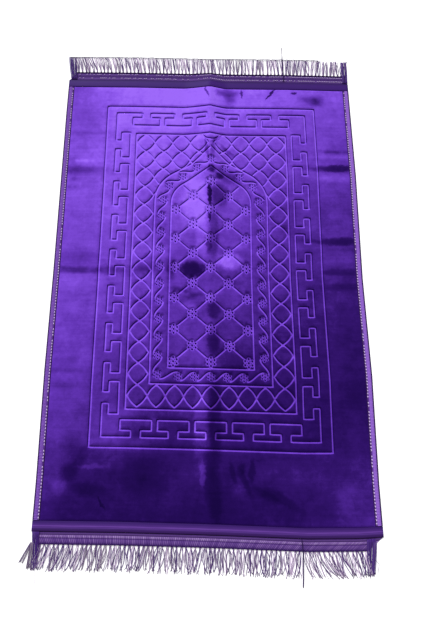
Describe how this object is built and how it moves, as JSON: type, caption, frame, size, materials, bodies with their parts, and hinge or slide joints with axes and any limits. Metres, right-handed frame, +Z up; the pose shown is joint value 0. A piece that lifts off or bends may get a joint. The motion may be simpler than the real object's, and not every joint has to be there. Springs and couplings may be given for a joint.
{
  "type": "prayer rug",
  "caption": "Flat prayer rug of embossed violet plush with an arched niche, overlocked sides, satin end bands and fringed ends.",
  "frame": {"origin": "on the floor in the middle of the rug's footprint, fringes and loose threads included", "axes": "+Z up out of the pile, +Y along the rug towards the point of the niche, +X to the right seen from the near end"},
  "size_m": [0.719, 1.2604, 0.0154],
  "materials": {
    "violet_plush": "matte",
    "lilac_overlock": "matte",
    "aubergine_satin": "satin",
    "mauve_yarn": "matte"
  },
  "bodies": {
    "root": {"pile_cloth": "violet_plush", "side_binding_left": "lilac_overlock", "side_binding_right": "lilac_overlock", "end_band_near": "aubergine_satin", "end_band_far": "aubergine_satin", "fringe_near": "mauve_yarn", "fringe_far": "mauve_yarn"}
  },
  "joints": []
}
